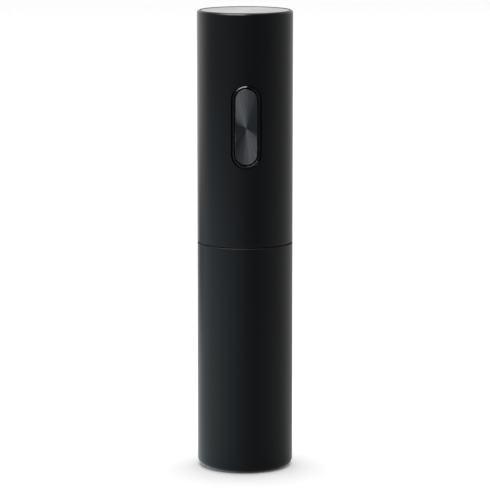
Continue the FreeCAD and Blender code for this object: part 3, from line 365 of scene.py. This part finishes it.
def finish_table():
    """Each finish, and the CAD nodes that have it."""
    return (
        (satin_coat(), ["upper_shell", "lower_sleeve"]),
        (moulded("seam_black", (0.0022, 0.0023, 0.0025), 0.6, 1.3), ["middle_frame"]),
        (moulded("guide_black", (0.011, 0.0115, 0.0125), 0.40, 1.46, 2200.0, 7e-6),
         ["neck_guide", "cork_guide"]),
        (soft_rubber(), ["seat_ring"]),
        (spun("spun_top_plate", (0.43, 0.435, 0.44), TOP_CENTRE, (0, 0, 1), rough=0.36,
              pitch=0.00045, depth=3e-6, aniso=0.25),
         ["top_plate"]),
        (spun("spun_button", (0.061, 0.063, 0.066), BUTTON_SPIN_CENTRE, (0, 1, 0), rough=0.45,
              pitch=0.00032, depth=2e-6, aniso=0.77, vary=0.10, fan=0.30),
         ["button_plate"]),
        (gloss_ring(), ["button_bezel"]),
        (moulded("moulded_black", (0.012, 0.012, 0.013), 0.42),
         ["button_rocker", "tact_switches", "board_chips", "usb_tongue", "auger_chuck"]),
        (moulded("plunger_red", (0.30, 0.03, 0.02), 0.40),
         ["switch_plunger_lower", "switch_plunger_upper"]),
        (solder_mask(), ["control_board", "charge_board"]),
        (metal("socket_steel", (0.58, 0.59, 0.61), 0.24, ALONG_Y), ["usb_shell"]),
        (clear_pin(), ["charge_light_pipe"]),
        (shrink_wrap(), ["battery_cell_left", "battery_cell_right"]),
        (metal("nickel_strip", (0.60, 0.57, 0.52), 0.28, ALONG_X), ["battery_tabs"]),
        (moulded("frame_white", (0.58, 0.58, 0.56), 0.45), ["battery_frame"]),
        (metal("zinc_screw", (0.46, 0.46, 0.48), 0.34, EVEN, 2600.0),
         ["top_screws", "frame_screws", "motor_screws", "gearbox_screws", "chuck_set_screw"]),
        (metal("zinc_can", (0.52, 0.54, 0.57), 0.30, (1.0, 1.0, 0.05), 3200.0),
         ["motor_can", "gearbox_lid"]),
        (moulded("motor_cap_ivory", (0.64, 0.61, 0.52), 0.42), ["motor_end_cap"]),
        (metal("plain_brass", (0.62, 0.44, 0.17), 0.30),
         ["motor_terminals", "motor_brushes", "sun_pinion"]),
        (metal("ground_ferrite", (0.060, 0.060, 0.064), 0.50, (1.0, 1.0, 0.1)),
         ["motor_magnets"]),
        (metal("sintered_bronze", (0.42, 0.27, 0.13), 0.44, EVEN, 3600.0, 6e-6),
         ["motor_bushes", "output_bearing"]),
        (metal("turned_steel", (0.56, 0.57, 0.59), 0.26), ["motor_shaft"]),
        (metal("blackened_pin", (0.016, 0.016, 0.017), 0.42), ["rocker_pin"]),
        (laminated_steel(), ["armature_core"]),
        (enamelled_wire(), ["armature_windings"]),
        (metal("copper_segments", (0.60, 0.26, 0.13), 0.30), ["commutator"]),
        (moulded("lead_red", (0.42, 0.015, 0.012), 0.36), ["motor_lead_red"]),
        (moulded("lead_black", (0.010, 0.010, 0.010), 0.36), ["motor_lead_black"]),
        (moulded("white_acetal", (0.66, 0.66, 0.62), 0.38, 1.48),
         ["gearbox_housing"] + [f"planet_{stage}{gear}" for stage in (1, 2) for gear in "abc"]),
        (metal("sintered_steel", (0.30, 0.30, 0.31), 0.46, EVEN, 3800.0, 6e-6),
         ["carrier_1", "carrier_2", "output_carrier"] + [f"planet_3{gear}" for gear in "abc"]),
        (metal("polished_steel", (0.60, 0.61, 0.63), 0.16, (1.0, 1.0, 0.3), 4200.0, 1.5e-6),
         ["corkscrew"]),
    )


def dress_frame():
    """A procedural material on every CAD node."""
    undressed = set(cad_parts)
    for finish, names in finish_table():
        for name in names:
            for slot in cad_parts[name].material_slots:
                slot.material = finish
            undressed.discard(name)
    if undressed:
        raise RuntimeError(f"no material for {sorted(undressed)}")


# ---- small pieces too fine for the frame ----
def socket_contacts():
    """The charging socket's gold contacts, a row on each face of its tongue."""
    lo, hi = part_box("usb_tongue")
    width, length, thickness = CONTACT_SIZE
    bm = bmesh.new()
    for face in (lo.z, hi.z):
        for i in range(CONTACTS):
            made = bmesh.ops.create_cube(bm, size=1.0)["verts"]
            bmesh.ops.scale(bm, vec=CONTACT_SIZE, verts=made)
            across = (i - (CONTACTS - 1) / 2) * CONTACT_PITCH
            at = (across, hi.y - CONTACT_INSET - length / 2, face)
            bmesh.ops.translate(bm, vec=at, verts=made)
            corners = [edge for edge in bm.edges if set(edge.verts) <= set(made)
                       and abs(edge.calc_length() - thickness) < SAME_LENGTH]
            bmesh.ops.bevel(bm, geom=corners, offset=CONTACT_BEVEL, segments=3, affect="EDGES",
                            profile=0.5)
    mesh = bpy.data.meshes.new("socket_contacts")
    bm.to_mesh(mesh)
    bm.free()
    piece = bpy.data.objects.new("socket_contacts", mesh)
    bpy.context.scene.collection.objects.link(piece)
    mesh.materials.append(metal("gold_plate", (0.83, 0.60, 0.25), 0.24, ALONG_Y, 6000.0))
    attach(piece, "housing")


# ---- stage ----
def make_camera():
    data = bpy.data.cameras.new("camera")
    data.sensor_width = SENSOR_MM
    data.lens = FOCAL_PX / FRAME_PX * SENSOR_MM
    camera = bpy.data.objects.new("camera", data)
    turn = math.radians(CAMERA_TURN_DEG)
    camera.location = (-CAMERA_BACK * math.sin(turn), -CAMERA_BACK * math.cos(turn), CAMERA_HEIGHT)
    camera.rotation_euler = (math.radians(90.0 - CAMERA_PITCH_DEG), 0.0, -turn)
    bpy.context.scene.collection.objects.link(camera)
    bpy.context.scene.camera = camera


class Studio(Nodes):
    """What glossy surfaces see of the studio, by direction: dim in front, brighter on the left."""

    def __init__(self, tree, place):
        super().__init__(tree)
        split = self.node("ShaderNodeSeparateXYZ", Vector=place)
        x, y = split.outputs["X"], split.outputs["Y"]
        squares = self.math("ADD", self.math("POWER", x, 2.0), self.math("POWER", y, 2.0))
        self.reach = self.math("SQRT", squares)
        turn = self.math("ARCTAN2", x, self.math("MULTIPLY", y, -1.0))
        self.turn = self.math("ADD", self.math("MULTIPLY", turn, 0.5 / math.pi), 0.5)

    def around(self, levels):
        """Brightness by azimuth, from a table."""
        ramp = self.node("ShaderNodeValToRGB", Fac=self.turn)
        stops = ramp.color_ramp.elements
        while len(stops) < len(levels):
            stops.new(1.0)
        ramp.color_ramp.interpolation = "B_SPLINE"
        for stop, (degrees, level, cool) in zip(stops, levels):
            stop.position = degrees / 360.0 + 0.5
            stop.color = (level * (1 - cool), level, level * (1 + cool * BLUE_SHARE), 1.0)
        return ramp.outputs["Color"]

    def fade(self, near, far, start, end):
        """near colour inside the start distance, far colour beyond the end distance."""
        along = self.node("ShaderNodeMapRange", {"interpolation_type": "SMOOTHSTEP"},
                          Value=self.reach, From_Min=start, From_Max=end)
        return self.blend(along.outputs["Result"], near, far)

    def shown(self, plain, seen):
        """The plain shader, or the seen one where a glossy surface looks at it."""
        is_glossy = self.node("ShaderNodeLightPath").outputs["Is Glossy Ray"]
        mix = self.node("ShaderNodeMixShader", Fac=is_glossy)
        self.link(plain, mix.inputs[1])
        self.link(seen, mix.inputs[2])
        return mix.outputs[0]


def make_floor():
    """A plain pale floor. Glossy rays see a glow on it instead: painted studio light, uneven by
    azimuth and distance.
    """
    mesh = bpy.data.meshes.new("floor")
    corners = [(x * FLOOR_HALF, y * FLOOR_HALF, 0) for x, y in ((-1, -1), (1, -1), (1, 1), (-1, 1))]
    mesh.from_pydata(corners, [], [(0, 1, 2, 3)])
    floor = bpy.data.objects.new("floor", mesh)
    floor.location.z = -FLOOR_DROP
    bpy.context.scene.collection.objects.link(floor)
    f = Finish("pale_floor")
    f.colour(f.noise(3.0), (0.93, 0.93, 0.93), (0.95, 0.95, 0.95))
    f.set(Roughness=0.8, Specular_IOR_Level=0.1)
    studio = Studio(f.tree, f.place)
    near, middle, far = (studio.around(table) for table in (NEAR_FLOOR, MID_FLOOR, FAR_FLOOR))
    seen = studio.fade(studio.fade(near, middle, *NEAR_TO_MID), far, *MID_TO_FAR)
    # painted light: the floor glows for glossy rays only, standing in for the studio's lights in
    # reflections
    glow = studio.node("ShaderNodeEmission", Color=seen)
    f.link(studio.shown(f.bsdf.outputs["BSDF"], glow.outputs[0]), f.out.inputs["Surface"])
    f.material.cycles.emission_sampling = "NONE"
    mesh.materials.append(f.material)


def make_world():
    """A plain white studio, uneven only in what glossy surfaces see of it."""
    world = bpy.data.worlds.new("studio")
    world.use_nodes = True
    tree = world.node_tree
    tree.nodes.clear()
    studio = Studio(tree, tree.nodes.new("ShaderNodeTexCoord").outputs["Generated"])
    plain = studio.node("ShaderNodeBackground", Color=(1.0, 1.0, 1.0, 1.0), Strength=WALL_WHITE)
    seen = studio.node("ShaderNodeBackground", Color=studio.around(WALLS))
    studio.node("ShaderNodeOutputWorld", Surface=studio.shown(plain.outputs[0], seen.outputs[0]))
    bpy.context.scene.world = world


def make_lights():
    for name, size, place, aim, watts, colour in LIGHTS:
        data = bpy.data.lights.new(name, "AREA")
        data.shape = "RECTANGLE"
        data.size, data.size_y = size
        data.energy = watts
        data.color = colour
        light = bpy.data.objects.new(name, data)
        light.location = place
        light.rotation_euler = (Vector(aim) - Vector(place)).to_track_quat("-Z", "Y").to_euler()
        light.visible_diffuse = name not in REFLECTED_ONLY
        bpy.context.scene.collection.objects.link(light)


make_camera()
make_world()
make_floor()
make_lights()
dress_frame()
socket_contacts()
bpy.context.scene.view_settings.view_transform = "Standard"
